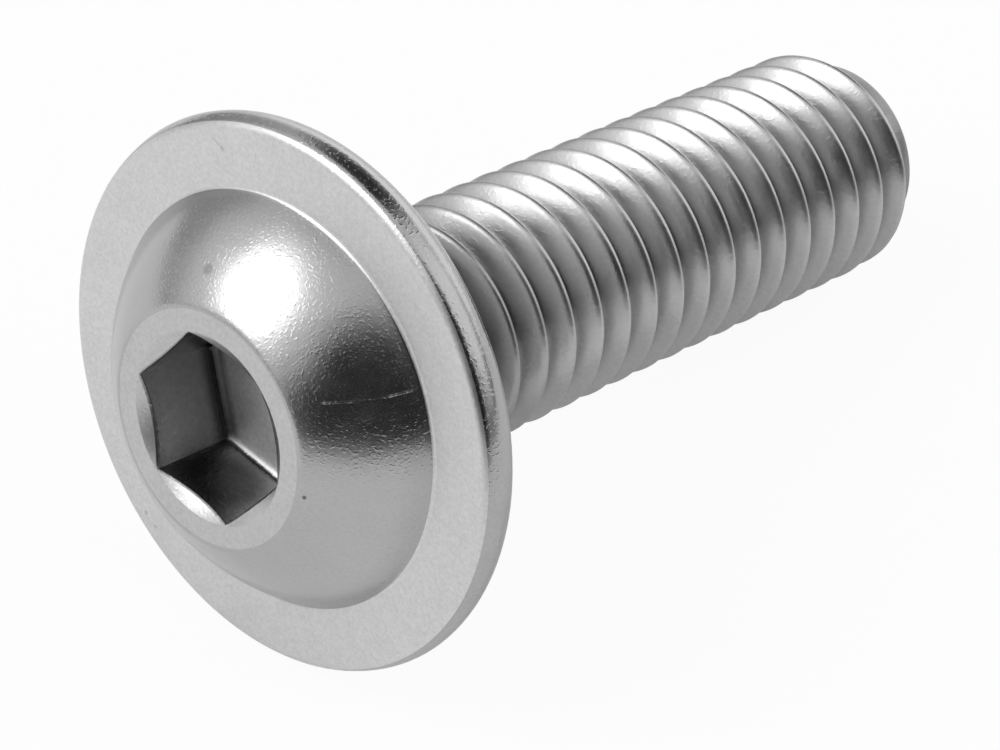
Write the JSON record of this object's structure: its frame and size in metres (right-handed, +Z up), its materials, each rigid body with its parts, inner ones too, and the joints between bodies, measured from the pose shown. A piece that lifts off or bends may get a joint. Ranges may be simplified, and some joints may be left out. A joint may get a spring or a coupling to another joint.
{
  "type": "flanged button head screw",
  "caption": "Fully threaded machine screw with a low domed button head, a wide collar under it, a hex socket and a plain flat point, lying on its side.",
  "frame": {"origin": "centre of the bounding box's bottom face, on the surface the screw lies on", "axes": "+Z up; the screw lies on its collar rim and the end of its thread, head towards -Y, tip towards +Y, its axis in the YZ plane and about 11 degrees down towards the tip"},
  "size_m": [0.0136, 0.0238, 0.0134],
  "materials": {
    "steel": "bright bare metal, fine grained, with small pits"
  },
  "bodies": {
    "root": {"button_head_screw": "steel"}
  },
  "joints": []
}
